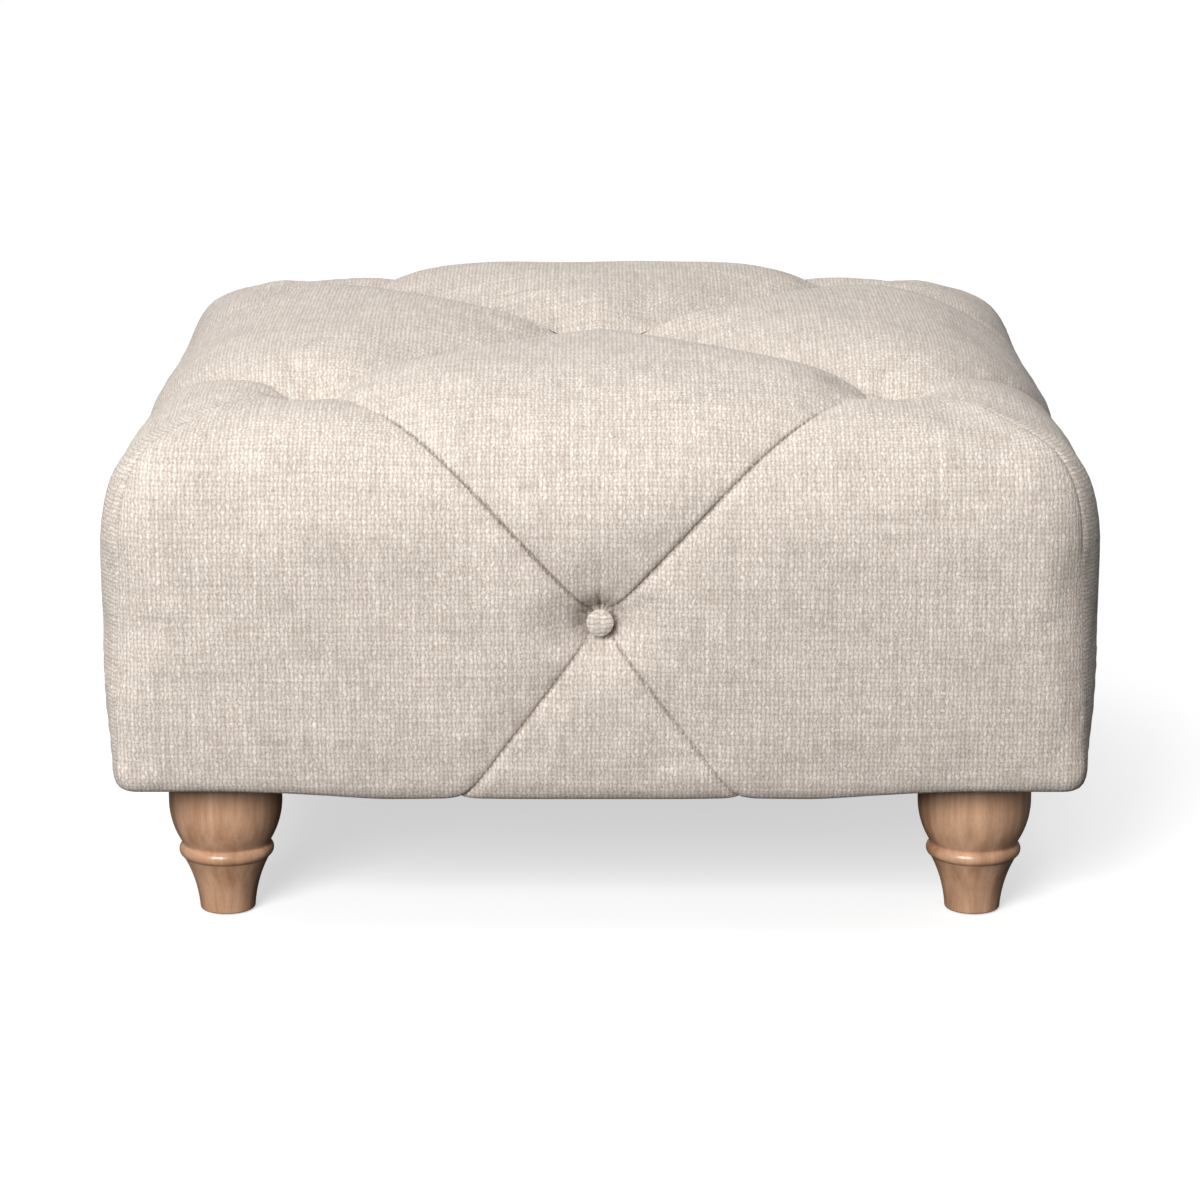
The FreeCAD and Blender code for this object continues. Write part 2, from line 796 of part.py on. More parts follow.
def make_padding(twine_holes):
    """The fibre padding: tufted outside, and hollow for the foam and the frame."""
    inset = fabric_thickness + fit_gap
    side_space = rounded_prism(foam_face + fit_gap, side_foam_rounding + fit_gap,
                               frame_bottom - 1, deck_top + fit_gap)
    top_space = rounded_block(panel_face + fit_gap, top_foam_rounding + fit_gap,
                              deck_top, foam_top + fit_gap)
    quarter = tufted_quarter(inset, frame_bottom).cut(side_space).cut(top_space)
    quarter = cut_where_met(quarter, twine_holes)
    return whole_from_quarter(quarter)


def make_cover(twine_holes, staples):
    """The fabric: the tufted form less the same form inset, and turned under the rails."""
    hem_inner = half_width - rim_depth - hem_width
    outer = tufted_quarter(0, hem_bottom)
    inner = tufted_quarter(fabric_thickness, frame_bottom)
    opening = box((-hem_inner, hem_inner), (-hem_inner, hem_inner), (0, frame_bottom + 1))
    quarter = cut_where_met(outer.cut(inner).cut(opening), twine_holes)
    return cut_where_met(whole_from_quarter(quarter), staples)


def make_dust_cover(staples):
    """The thin cloth under the frame, with a hole for each foot's bolt."""
    half = frame_half - dust_cover_margin + rail_thickness / 2
    cloth = box((-half, half), (-half, half), (foot_top, hem_bottom))
    holes = [rod(bolt_hole_radius, place, up, frame_bottom) for _, place in corner_places()]
    return cut_where_met(cloth, holes + staples)


def main():
    os.makedirs("parts", exist_ok=True)
    fasteners, holes, staples = make_fasteners()
    padding_holes = [twine_hole(seat, direction, shank_hole_radius)
                     for _, seat, direction in button_places()]
    frame_holes = [twine_hole(seat, direction, anchor_hole_diameter / 2)
                   for _, seat, direction in button_places()]
    nodes = {}
    for name, piece in make_frame().items():
        nodes[name] = cut_where_met(piece, holes + frame_holes + staples)
    nodes.update(make_feet())
    nodes.update(fasteners)
    nodes.update(make_buttons())
    nodes.update(make_twines_and_anchors())
    nodes.update(make_foam(padding_holes))
    nodes["fibre_padding"] = make_padding(padding_holes)
    nodes["fabric_cover"] = make_cover(padding_holes, staples)
    nodes["dust_cover"] = make_dust_cover(staples)
    for name, shape in nodes.items():
        shape.exportStep(f"parts/{name}.step")
        print(name, shape.isValid(), len(shape.Solids), round(shape.Volume / 1000, 2))
    print(len(nodes), "nodes")


main()
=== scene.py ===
import math

import bmesh
import bpy
import numpy as np
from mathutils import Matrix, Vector, kdtree


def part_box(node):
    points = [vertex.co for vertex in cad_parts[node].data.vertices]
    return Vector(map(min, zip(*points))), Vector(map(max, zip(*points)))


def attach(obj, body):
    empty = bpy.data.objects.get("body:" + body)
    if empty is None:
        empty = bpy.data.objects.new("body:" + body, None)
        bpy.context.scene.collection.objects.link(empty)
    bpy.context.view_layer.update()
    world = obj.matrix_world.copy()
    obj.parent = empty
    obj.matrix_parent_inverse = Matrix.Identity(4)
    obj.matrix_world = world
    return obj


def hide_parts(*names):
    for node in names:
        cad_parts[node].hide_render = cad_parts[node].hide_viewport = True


# A square, deep-buttoned footstool on four turned feet, dressed round its frame.
# Shapes are worked out in millimetres and put into meshes in metres.

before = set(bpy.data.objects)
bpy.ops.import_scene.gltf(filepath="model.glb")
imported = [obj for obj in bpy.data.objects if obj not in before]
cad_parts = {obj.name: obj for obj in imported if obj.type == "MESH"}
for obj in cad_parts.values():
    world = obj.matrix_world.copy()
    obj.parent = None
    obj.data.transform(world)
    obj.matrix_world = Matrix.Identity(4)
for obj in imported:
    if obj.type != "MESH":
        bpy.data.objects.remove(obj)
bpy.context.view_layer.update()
MM = 0.001


def box_mm(node):
    """A node's lowest and highest corners in millimetres."""
    low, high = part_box(node)
    return np.array(low) / MM, np.array(high) / MM


def middle_mm(node):
    low, high = box_mm(node)
    return (low + high) / 2


# A covered button: its shank behind the seat and its crown before it
SHANK_LENGTH = 6.0
BUTTON_CROWN = 7.0

# Sizes taken from the frame
COVER_LOW, COVER_HIGH = box_mm("fabric_cover")
HALF = COVER_HIGH[0]
UNDERSIDE = COVER_LOW[2]
TOP_BUTTON = middle_mm("top_button_front_right")[0]
TOP_SEAT = box_mm("top_button_front_right")[0][2] + SHANK_LENGTH
SIDE_BUTTON_HEIGHT = middle_mm("front_button")[2]
SIDE_SEAT = -box_mm("front_button")[1][1] - SHANK_LENGTH
BUTTON_RADIUS = (box_mm("top_button_centre")[1][0] - box_mm("top_button_centre")[0][0]) / 2

# The padding's outer form
CREST_HEIGHT = 456.5
CREST_OFFSET = 150.0
CROWN_BEND = 0.0004
SHOULDER_DROP = 146.5
SHOULDER_POWER = 2.85
DRAW_IN_START = 300.0
DRAW_IN = 7.0
DRAW_IN_POWER = 2.2
RIM_HEIGHT = 28.0
RIM_DEPTH = 13.0
HEM_WIDTH = 56.0
CORNER_SHARE = 0.32
CORNER_DROP = 12.0

# Tufting
TOP_WELL_RADIUS = 110.0
SIDE_WELL_RADIUS = 58.0
SEAT_RADIUS = BUTTON_RADIUS + 1.0
VALLEY_DEPTH = 26.0
VALLEY_WIDTH = 112.0
LOWER_SPREAD = 114.0
FOLD_BOW = 0.16

# The skins under the cover
FABRIC = 1.5
GAP = 0.3
PADDING_SLACK = 2.5
TOP_FOAM_ROUNDING = 22.0
BOTTOM_FOAM_HALF = box_mm("right_foam")[1][0]
TOP_FOAM_LOW, TOP_FOAM_HIGH = box_mm("top_foam")
FOAM_CORNER = 25.0
FOOT_AXIS = middle_mm("front_right_foot")[0]

# Rows and columns of the cover's grid
ROWS_TOP = 44
ROWS_SHOULDER = 60
ROWS_LOWER = 28
ROWS_HEM = 9
COLUMNS_DIAMOND = 44
COLUMNS_CORNER = 54
COLUMNS_TRIANGLE = 18


def fall(t):
    """A hollow's wall: 1 at the middle, level with the surface from t = 1 on."""
    return np.clip(1 - np.abs(t), 0, None) ** 2


def smooth(t):
    """A smooth step from 0 at t = 0 to 1 at t = 1."""
    t = np.clip(t, 0, 1)
    return t * t * (3 - 2 * t)


def upright_section():
    """The stool's upright section: half width and height against the run from the top's middle.

    A shallow parabola crowns the top. A superellipse makes the shoulder. The side is upright
    and then draws in by a power of the depth below its belly. A quarter circle turns the rim
    under, and the hem runs level.
    """
    crown = np.linspace(0, CREST_OFFSET, 40)[:-1]
    rim_top = UNDERSIDE + RIM_HEIGHT
    shoulder_height = CREST_HEIGHT - SHOULDER_DROP
    turn = np.linspace(0, math.pi / 2, 1500)
    reach = HALF - CREST_OFFSET
    side = np.linspace(shoulder_height, rim_top, 300)[1:]
    below = np.clip((DRAW_IN_START - side) / (DRAW_IN_START - UNDERSIDE), 0, 1)
    side_in = DRAW_IN * below ** DRAW_IN_POWER
    rim = np.linspace(0, math.pi / 2, 40)[1:]
    rim_half = HALF - side_in[-1] - RIM_DEPTH
    hem = np.linspace(0, HEM_WIDTH, 40)[1:]
    half = np.concatenate([
        crown,
        CREST_OFFSET + reach * np.sin(turn) ** (2 / SHOULDER_POWER),
        HALF - side_in,
        rim_half + RIM_DEPTH * np.cos(rim),
        rim_half - hem,
    ])
    height = np.concatenate([
        CREST_HEIGHT - CROWN_BEND * (CREST_OFFSET - crown) ** 2,
        shoulder_height + SHOULDER_DROP * np.cos(turn) ** (2 / SHOULDER_POWER),
        side,
        rim_top - RIM_HEIGHT * np.sin(rim),
        np.full(hem.shape, UNDERSIDE),
    ])
    run = np.concatenate([[0], np.cumsum(np.hypot(np.diff(half), np.diff(height)))])
    return run, half, height


RUN, SECTION_HALF, SECTION_HEIGHT = upright_section()
RUN_TOP_BUTTON = np.interp(TOP_BUTTON, SECTION_HALF[:1400], RUN[:1400])
SIDE_START = int(np.argmax(SECTION_HALF >= HALF - 1e-6))
RUN_SIDE_BUTTON = np.interp(-SIDE_BUTTON_HEIGHT, -SECTION_HEIGHT[SIDE_START:], RUN[SIDE_START:])
RUN_RIM = np.interp(-(UNDERSIDE + 0.01), -SECTION_HEIGHT[SIDE_START:], RUN[SIDE_START:])
RUN_END = RUN[-1]


def corner_radius(half, run):
    """The plan's corner radius: nothing out to the top button, then a share of the way beyond it."""
    full = CORNER_SHARE * (HALF - TOP_BUTTON)
    grown = CORNER_SHARE * np.clip(half - TOP_BUTTON, 0, None)
    tucked = np.clip(full - (HALF - half) - 24 * smooth((run - RUN[SIDE_START]) / 180), 6, None)
    return np.where(run < RUN_TOP_BUTTON, 0, np.where(run > RUN[SIDE_START], tucked, grown))


def row_width(run):
    """The length of a half row, from the middle of the front to the corner's diagonal."""
    half = np.interp(run, RUN, SECTION_HALF)
    radius = corner_radius(half, run)
    return half - radius + radius * math.pi / 4


def base_point(across, run):
    """A point of the untufted form and its outward normal, in the front sector.

    across runs along the row from the middle, round the plan's corner arc; run is the length
    along the upright section. On the inner crown the normal leans to the middle, which leaves
    the four folds at the centre button open.
    """
    half = np.interp(run, RUN, SECTION_HALF)
    height = np.interp(run, RUN, SECTION_HEIGHT)
    step = 2.0
    ahead = np.clip(run + step, 0, RUN_END)
    behind = np.clip(run - step, 0, RUN_END)
    d_half = np.interp(ahead, RUN, SECTION_HALF) - np.interp(behind, RUN, SECTION_HALF)
    d_height = np.interp(ahead, RUN, SECTION_HEIGHT) - np.interp(behind, RUN, SECTION_HEIGHT)
    length = np.hypot(d_half, d_height)
    radius = corner_radius(half, run)
    straight = half - radius
    side = np.sign(across)
    beyond = np.clip(np.abs(across) - straight, 0, None)
    angle = np.where(radius > 0, beyond / np.maximum(radius, 1e-6), 0)
    x = side * (np.minimum(np.abs(across), straight) + radius * np.sin(angle))
    y = -(straight + radius * np.cos(angle))
    outward = -d_height / length
    upward = d_half / length
    normal = np.stack([side * np.sin(angle) * outward, -np.cos(angle) * outward, upward], -1)
    return np.stack([x, y, height], -1), normal


def upper_fold(run):
    """Where the fold from the top button to the front button crosses a row."""
    t = np.clip((run - RUN_TOP_BUTTON) / (RUN_SIDE_BUTTON - RUN_TOP_BUTTON), 0, 1)
    return TOP_BUTTON * (1 - t) * (1 + FOLD_BOW * t)


def lower_fold(run):
    """Where the fold from the front button to the lower edge crosses a row."""
    t = np.clip((run - RUN_SIDE_BUTTON) / (RUN_RIM - RUN_SIDE_BUTTON), 0, None)
    return LOWER_SPREAD * t


def fold_lines(across, run, point):
    """The cover's creases, each as the distance from its line, where it counts, and its strength."""
    t = (run - RUN_TOP_BUTTON) / (RUN_SIDE_BUTTON - RUN_TOP_BUTTON)
    on_upper = smooth((t - 0.2) / 0.2) * smooth((1.04 - t) / 0.06)
    on_lower = smooth((t - 0.96) / 0.06)
    along = (np.abs(point[..., 0]) + np.abs(point[..., 1])) / (2 * TOP_BUTTON)
    off = (np.abs(point[..., 1]) - np.abs(point[..., 0])) / math.sqrt(2)
    on_seam = smooth((along - 1.1) / 0.1) * smooth((RUN_SIDE_BUTTON - 20 - run) / 80)
    lines = [(off, on_seam, 0.4)]
    for side in (-1, 1):
        lines.append(((across - side * upper_fold(run)) * 0.77, on_upper, 1.0))
        lines.append(((across - side * lower_fold(run)) * 0.8, on_lower, 0.75))
    return lines


def painted_crease_shade(across, run, point):
    """How near a point lies to a crease or to a button's rim, as painted shade for the cloth's colour: 1 on the line,
    0 from 3 mm on.
    """
    tone = 0 * run
    for away, within, strength in fold_lines(across, run, point):
        tone = np.maximum(tone, strength * within * np.clip(1.2 - np.abs(away) / 1.9, 0, 1))
    for centre in button_centres()[1:]:
        ring = np.linalg.norm(mirrored(point) - centre, axis=-1) - BUTTON_RADIUS
        tone = np.maximum(tone, np.clip(1.3 - np.abs(ring) / 2.5, 0, 1))
    # Painted shade in the valleys of the pleats round the side buttons.
    away, waves = side_pleats(point)
    pleat = smooth((waves - 0.3) / 1.4) * np.exp(-np.clip(away - BUTTON_RADIUS, 0, None) / 5)
    return np.maximum(tone, (point[..., 1] < -340) * 0.9 * pleat)


def side_pleats(point):
    """The distance from the side button and the waves of the pleats round it."""
    x, z = point[..., 0], point[..., 2] - SIDE_BUTTON_HEIGHT
    angle = np.arctan2(x, z)
    waves = 0.7 * np.cos(11 * angle + 0.4) + 0.8 * np.cos(3 * angle) + 0.6 * np.cos(17 * angle + 0.2)
    return np.hypot(x, z), waves


def mirrored(point):
    return np.stack([np.abs(point[..., 0]), point[..., 1], point[..., 2]], -1)


def button_centres():
    """Where the untufted form lies over the centre, corner and side buttons of the front sector."""
    crest = np.interp(0, RUN, SECTION_HEIGHT)
    shoulder = np.interp(RUN_TOP_BUTTON, RUN, SECTION_HEIGHT)
    side_half = np.interp(RUN_SIDE_BUTTON, RUN, SECTION_HALF)
    return [np.array([0, 0, crest]), np.array([TOP_BUTTON, -TOP_BUTTON, shoulder]),
            np.array([0, -side_half, SIDE_BUTTON_HEIGHT])]


def gathers(point):
    """Small pleats that run out from the buttons and fade: waves round the angle about each."""
    centre, corner, side = button_centres()
    x, z = point[..., 0], point[..., 2] - SIDE_BUTTON_HEIGHT
    away, waves = side_pleats(point)
    on_side = smooth((point[..., 1] + 340) / -30) * smooth((away - 6) / 6)
    drawn = on_side * 1.1 * waves * np.exp(-np.clip(away - SEAT_RADIUS, 0, None) / 9)
    drawn = drawn + on_side * 2.6 * fall(x / 4) * np.exp(-np.clip(z - SEAT_RADIUS, 0, None) / 9) * (z > 0)
    ripple = np.sin(z / 1.15 + 0.8 * np.sin(x / 11)) + 0.7 * np.sin(z / 1.9 + 1.3 + 0.5 * np.sin(x / 17 + 1))
    between = smooth((z - 14) / 10) * smooth((64 - z) / 36) * smooth((0.8 * z - np.abs(x) + 6) / 10)
    drawn = drawn + on_side * 0.32 * ripple * between
    for middle, first in ((centre, 0), (corner, math.pi / 4)):
        offset = mirrored(point) - middle
        away = np.hypot(offset[..., 0], offset[..., 1])
        angle = np.abs(np.arctan2(offset[..., 0], -offset[..., 1]) - first)
        waves = np.cos(8 * angle) + 0.7 * np.cos(12 * angle + 1)
        upper = smooth((point[..., 2] - 380) / 30) * smooth((away - 6) / 6)
        size = 0.4 if first == 0 else 1.2
        drawn = drawn + size * upper * waves * np.exp(-np.clip(away - SEAT_RADIUS, 0, None) / 20)
    return drawn


def hollow(across, run, point):
    """How deep the tufting draws the surface in: the soft union of wells, valleys and folds."""
    parts = []
    centre, corner, side_middle = button_centres()
    side_depth = -side_middle[1] - SIDE_SEAT
    wells = [(centre, centre[2] - TOP_SEAT, TOP_WELL_RADIUS),
             (corner, corner[2] - TOP_SEAT, TOP_WELL_RADIUS),
             (side_middle, side_depth, SIDE_WELL_RADIUS)]
    for middle, depth, radius in wells:
        away = np.clip(np.linalg.norm(mirrored(point) - middle, axis=-1) - SEAT_RADIUS, 0, None)
        narrow, reach = (0.3, 0.3 * radius) if depth > 20 else (0.6, 10)
        parts.append(depth * ((1 - narrow) * fall(away / radius) + narrow * fall(away / reach)))
    along = (np.abs(point[..., 0]) + np.abs(point[..., 1])) / (2 * TOP_BUTTON)
    off = (np.abs(point[..., 1]) - np.abs(point[..., 0])) / math.sqrt(2)
    on_top = smooth((1.12 - along) / 0.12)
    parts.append(VALLEY_DEPTH * on_top * fall(off / VALLEY_WIDTH))
    t = (run - RUN_TOP_BUTTON) / (RUN_SIDE_BUTTON - RUN_TOP_BUTTON)
    within = smooth((t + 0.12) / 0.12) * smooth((1.1 - t) / 0.1)
    for side in (-1, 1):
        away = (across - side * upper_fold(run)) * 0.77
        depth = 20 * np.clip(1 - t, 0, 1) ** 2 + 2.5
        width = 55 + 50 * np.clip(1 - t, 0, 1)
        parts.append(within * depth * fall(away / width))
        parts.append(within * 6 * fall(away / 15))
        away = (across - side * lower_fold(run)) * 0.8
        below = smooth((t - 0.95) / 0.1)
        fade = np.clip(1 - (t - 1) / 0.45, 0, 1)
        parts.append(below * ((4 * fade + 0.8) * fall(away / 50) + 2 * fall(away / 12)))
    seam = smooth((along - 1) / 0.1) * smooth((RUN_SIDE_BUTTON - run) / 120)
    parts.append(seam * 0.8 * fall(off / 16))
    power = 2.5
    depth = sum(part ** power for part in parts) ** (1 / power)
    for away, within, strength in fold_lines(across, run, point):
        depth = depth + 1.5 * strength * within * fall(away / 3.5)
    return depth + gathers(point)


def corner_drop(point, normal, run):
    """How far the top falls away towards its corners, less what their shoulders stand out."""
    wide, deep = np.abs(point[..., 0]), np.abs(point[..., 1])
    out = (wide + deep) / 2 - np.sqrt(((wide - deep) / 2) ** 2 + 14 ** 2) + 14
    on_shoulder = smooth((run - 335) / 60) * smooth((455 - run) / 70)
    stands_out = 6 * smooth((out - 200) / 100) * on_shoulder
    return CORNER_DROP * smooth((out - 180) / 150) * normal[..., 2] ** 2 - stands_out


def cover_point(across, run, inset=0.0):
    """A point of the tufted cover: the untufted form moved in along its normal."""
    point, normal = base_point(across, run)
    depth = hollow(across, run, point) + corner_drop(point, normal, run) + inset
    return point - normal * depth[..., None]


def clustered(start, end, count, tightness=0.85):
    """Values from start to end, closer together at both ends."""
    t = np.linspace(0, 1, count + 1)
    t = t - tightness * np.sin(2 * math.pi * t) / (2 * math.pi)
    return start + (end - start) * t


def cover_rows(finer=1.0, end=None):
    """The rows' lengths run: over the top, down the shoulder, down to the rim and round to the hem."""
    end = RUN_END if end is None else end
    top = clustered(0, RUN_TOP_BUTTON, int(ROWS_TOP * finer))
    shoulder = clustered(RUN_TOP_BUTTON, RUN_SIDE_BUTTON, int(ROWS_SHOULDER * finer))
    lower = clustered(RUN_SIDE_BUTTON, RUN_RIM, int(ROWS_LOWER * finer), 0.7)
    hem = np.linspace(RUN_RIM, end, int(ROWS_HEM * finer) + 1)
    return top, shoulder, lower, hem


def cover_patches(finer=1.0, end=None):
    """The half sector's grids of (across, run): half diamond, half corner puff, half triangle."""
    top, shoulder, lower, hem = cover_rows(finer, end)
    upper = np.concatenate([top, shoulder[1:]])
    below = np.concatenate([lower, hem[1:]])
    patches = []
    to_fold = 1 - np.linspace(1, 0, int(COLUMNS_DIAMOND * finer) + 1) ** 1.5
    bound = np.where(upper < RUN_TOP_BUTTON, row_width(upper), upper_fold(upper))
    patches.append((upper, bound[:, None] * to_fold))
    rows = np.concatenate([shoulder, below[1:]])
    between = clustered(0, 1, int(COLUMNS_CORNER * finer), 0.9)
    inner = np.where(rows < RUN_SIDE_BUTTON, upper_fold(rows), lower_fold(rows))
    patches.append((rows, inner[:, None] + (row_width(rows) - inner)[:, None] * between))
    to_fold = 1 - np.linspace(1, 0, int(COLUMNS_TRIANGLE * finer) + 1) ** 1.5
    patches.append((below, lower_fold(below)[:, None] * to_fold))
    return [(across, np.repeat(run[:, None], across.shape[1], 1)) for run, across in patches]


def grid_faces(rows, columns, start, flipped):
    """The quads of a grid of points numbered row by row."""
    index = start + np.arange(rows * columns).reshape(rows, columns)
    quads = np.stack([index[:-1, :-1], index[1:, :-1], index[1:, 1:], index[:-1, 1:]], -1).reshape(-1, 4)
    return quads[:, ::-1] if flipped else quads


def mesh_piece(name, points, faces, uvs=None, values=None):
    """A mesh object in metres from points in millimetres, with its doubles merged."""
    mesh = bpy.data.meshes.new(name)
    mesh.from_pydata((points * MM).tolist(), [], faces.tolist() if hasattr(faces, "tolist") else faces)
    for key, value in (values or {}).items():
        attribute = mesh.attributes.new(key, "FLOAT", "POINT")
        attribute.data.foreach_set("value", value.astype(np.float32))
    if uvs is not None:
        layer = mesh.uv_layers.new(name="weave")
        corners = np.zeros(len(mesh.loops), np.int32)
        mesh.loops.foreach_get("vertex_index", corners)
        layer.data.foreach_set("uv", (uvs[corners] * MM).astype(np.float32).ravel())
    work = bmesh.new()
    work.from_mesh(mesh)
    bmesh.ops.remove_doubles(work, verts=work.verts, dist=2e-6)
    work.to_mesh(mesh)
    work.free()
    mesh.polygons.foreach_set("use_smooth", np.ones(len(mesh.polygons), bool))
    piece = bpy.data.objects.new(name, mesh)
    bpy.context.scene.collection.objects.link(piece)
    return piece


def unevenness(point):
    """A slow waviness of hand work, a sum of sines over the place in space."""
    x, y, z = point[..., 0], point[..., 1], point[..., 2]
    slow = np.sin(x / 43 + 0.6) * np.sin(y / 37 + 1.1) + np.sin((x + 0.6 * z) / 29 + 2.0) * np.sin((z - 0.5 * x) / 33)
    return 0.45 * slow + 0.25 * np.sin((y + x) / 17 + 0.3) * np.sin((z - y) / 21 + 1.7)


def quarter_turn(quarter):
    """The matrix that turns row vectors by so many quarter turns."""
    c, s = round(math.cos(quarter * math.pi / 2)), round(math.sin(quarter * math.pi / 2))
    return np.array([[c, s, 0], [-s, c, 0], [0, 0, 1]])


def surround(patches, place, extra):
    """The points and faces of half sector patches, mirrored and turned round the stool.

    place gives a patch's points from (across, run); extra gives what its points carry.
    """
    points, faces, carried = [], [], []
    count = 0
    for across, run in patches:
        for side in (1, -1):
            spot = place(side * across, run)
            for quarter in range(4):
                turn = quarter_turn(quarter)
                points.append(spot.reshape(-1, 3) @ turn)
                carried.append(extra(side * across, run, turn))
                faces.append(grid_faces(*across.shape, count, side < 0))
                count += across.size
    return np.concatenate(points), np.concatenate(faces), np.concatenate(carried)


def weave_and_crease_shade(across, run, turn):
    """What the cover's points carry: the weave's two coordinates and the painted shade of the creases."""
    flat = np.stack([across, -run], -1).reshape(-1, 2) @ turn[:2, :2]
    point = base_point(across, run)[0]
    tone = painted_crease_shade(across, run, point).reshape(-1, 1)
    held = smooth((UNDERSIDE + 22 - point[..., 2]) / 14)
    for away, within, strength in fold_lines(across, run, point):
        held = np.maximum(held, smooth(within * strength * 2) * np.clip(1.6 - np.abs(away) / 7, 0, 1))
    for centre in button_centres():
        away = np.linalg.norm(mirrored(point) - centre, axis=-1)
        held = np.maximum(held, np.clip(2 - away / 22, 0, 1))
    return np.concatenate([flat, tone, held.reshape(-1, 1)], -1)


def make_cover():
    """The tufted cover: three grids per half sector, mirrored and turned four times."""
    points, faces, carried = surround(cover_patches(), cover_point, weave_and_crease_shade)
    outward = points - np.array([0, 0, 250.0])
    outward[:, :2] *= np.abs(points[:, :2]) > 0.8 * HALF
    outward /= np.linalg.norm(outward, axis=1)[:, None]
    above = smooth((points[:, 2] - UNDERSIDE - 5) / 30)
    points = points + outward * (above * unevenness(points))[:, None]
    coarse = surround(cover_patches(0.5), cover_point, weave_and_crease_shade)
    points = points + spread(*settled(*coarse), points)
    # The cover carries the painted shade of its creases, buttons' rims and pleats as a point attribute.
    piece = mesh_piece("cover", points, faces, carried[:, :2], {"crease_shade": carried[:, 2]})
    skin = piece.modifiers.new("skin", "SOLIDIFY")
    skin.thickness = FABRIC * MM
    skin.offset = -1
    return piece


def settled(points, faces, carried):
    """How the stuffing pushes a coarse cover out of its drawn place, by cloth simulation.

    The cloth is held at the buttons, in the creases and along the hem, is cut a little too
    large for its place, and is blown up from inside. Its points move along their normals. The
    rise is bent to stay under the cap, and the slack is taken off it where nothing holds them.
    """
    slack, cap, frames = 1.6, 3.6, 20
    cloth_piece = mesh_piece("cloth_trial", points, faces, None, {"held": carried[:, 3]})
    mesh = cloth_piece.data
    held = np.zeros(len(mesh.vertices), np.float32)
    mesh.attributes["held"].data.foreach_get("value", held)
    start = np.zeros(len(mesh.vertices) * 3, np.float32)
    mesh.vertices.foreach_get("co", start)
    normal = np.zeros_like(start)
    mesh.vertices.foreach_get("normal", normal)
    group = cloth_piece.vertex_groups.new(name="pins")
    for index, weight in enumerate(held.tolist()):
        group.add([index], weight, "REPLACE")
    cloth = cloth_piece.modifiers.new("cloth", "CLOTH")
    cloth.settings.vertex_group_mass = "pins"
    cloth.settings.quality = 6
    cloth.settings.mass = 0.4
    cloth.settings.tension_stiffness = cloth.settings.compression_stiffness = 20
    cloth.settings.bending_stiffness = 1.2
    cloth.settings.shrink_min = -0.015
    cloth.settings.use_pressure = True
    cloth.settings.uniform_pressure_force = 1.6
    cloth.settings.effector_weights.gravity = 0
    cloth.collision_settings.use_collision = False
    cloth.point_cache.frame_end = frames
    for frame_number in range(1, frames + 1):
        bpy.context.scene.frame_set(frame_number)
    moved_mesh = cloth_piece.evaluated_get(bpy.context.evaluated_depsgraph_get()).to_mesh()
    end = np.zeros_like(start)
    moved_mesh.vertices.foreach_get("co", end)
    bpy.context.scene.frame_set(1)
    start, end, normal = start.reshape(-1, 3) / MM, end.reshape(-1, 3) / MM, normal.reshape(-1, 3)
    rise = cap * np.tanh(np.clip(((end - start) * normal).sum(axis=1), 0, None) / cap)
    shift = normal * (rise - slack * (1 - np.clip(held, 0, 1)))[:, None]
    bpy.data.objects.remove(cloth_piece)
    bpy.data.meshes.remove(mesh)
    return start, shift


def spread(start, shift, points):
    """The coarse cover's shifts at finer points, from each one's four nearest."""
    tree = kdtree.KDTree(len(start))
    for index, place in enumerate(start):
        tree.insert(place, index)
    tree.balance()
    nearest = [tree.find_n(place, 4) for place in points]
    index = np.array([[found[1] for found in row] for row in nearest])
    weight = 1 / (np.array([[found[2] for found in row] for row in nearest]) + 0.5) ** 2
    weight /= weight.sum(axis=1)[:, None]
    return (shift[index] * weight[..., None]).sum(axis=1)


def padding_point(across, run):
    return cover_point(across, run, FABRIC + GAP + PADDING_SLACK)


def make_padding():
    """The fibre padding: the cover's form moved in, closed round the foam under it.

    Its outside follows the cover down to the side foam's foot. Its inside climbs the side
    foam, steps in over it and closes over the top foam, as rings of a rounded square.
    """
    inner = BOTTOM_FOAM_HALF + GAP
    top_half = TOP_FOAM_HIGH[0] + GAP
    top_side = TOP_FOAM_HIGH[2] + GAP
    turn_run = np.interp(-inner, -SECTION_HALF[-40:], RUN[-40:])
    patches = cover_patches(0.4, turn_run)
    points, faces, _ = surround(patches, padding_point,
                                lambda across, run, turn: np.zeros((across.size, 1)))
    rise = np.linspace(0, 1, 6)
    low, shelf = UNDERSIDE + FABRIC + GAP, TOP_FOAM_LOW[2] + GAP
    profile = [(inner, FOAM_CORNER, z) for z in low + (shelf - low) * rise]
    profile += [(top_half, 15, z) for z in shelf + (top_side - TOP_FOAM_ROUNDING - shelf) * rise]
    arc = np.linspace(0, math.pi / 2, 6)[1:]
    profile += [(top_half - TOP_FOAM_ROUNDING * (1 - math.cos(a)), 15,
                 top_side - TOP_FOAM_ROUNDING * (1 - math.sin(a))) for a in arc]
    profile += [(top_half * k, 10 * k, top_side) for k in (0.7, 0.45, 0.2, 0)]
    points, faces = [points], [faces]
    count = len(points[0])
    for across, run in patches[1:]:
        share = across[-1] / row_width(run[-1])
        for side in (1, -1):
            rows = [surround_row(side * share, *ring) for ring in profile]
            rows.insert(0, padding_point(side * across[-1], run[-1]))
            grid = np.stack(rows)
            for quarter in range(4):
                points.append(grid.reshape(-1, 3) @ quarter_turn(quarter))
                faces.append(grid_faces(*grid.shape[:2], count, side < 0))
                count += len(points[-1])
    return mesh_piece("padding", np.concatenate(points), np.concatenate(faces))


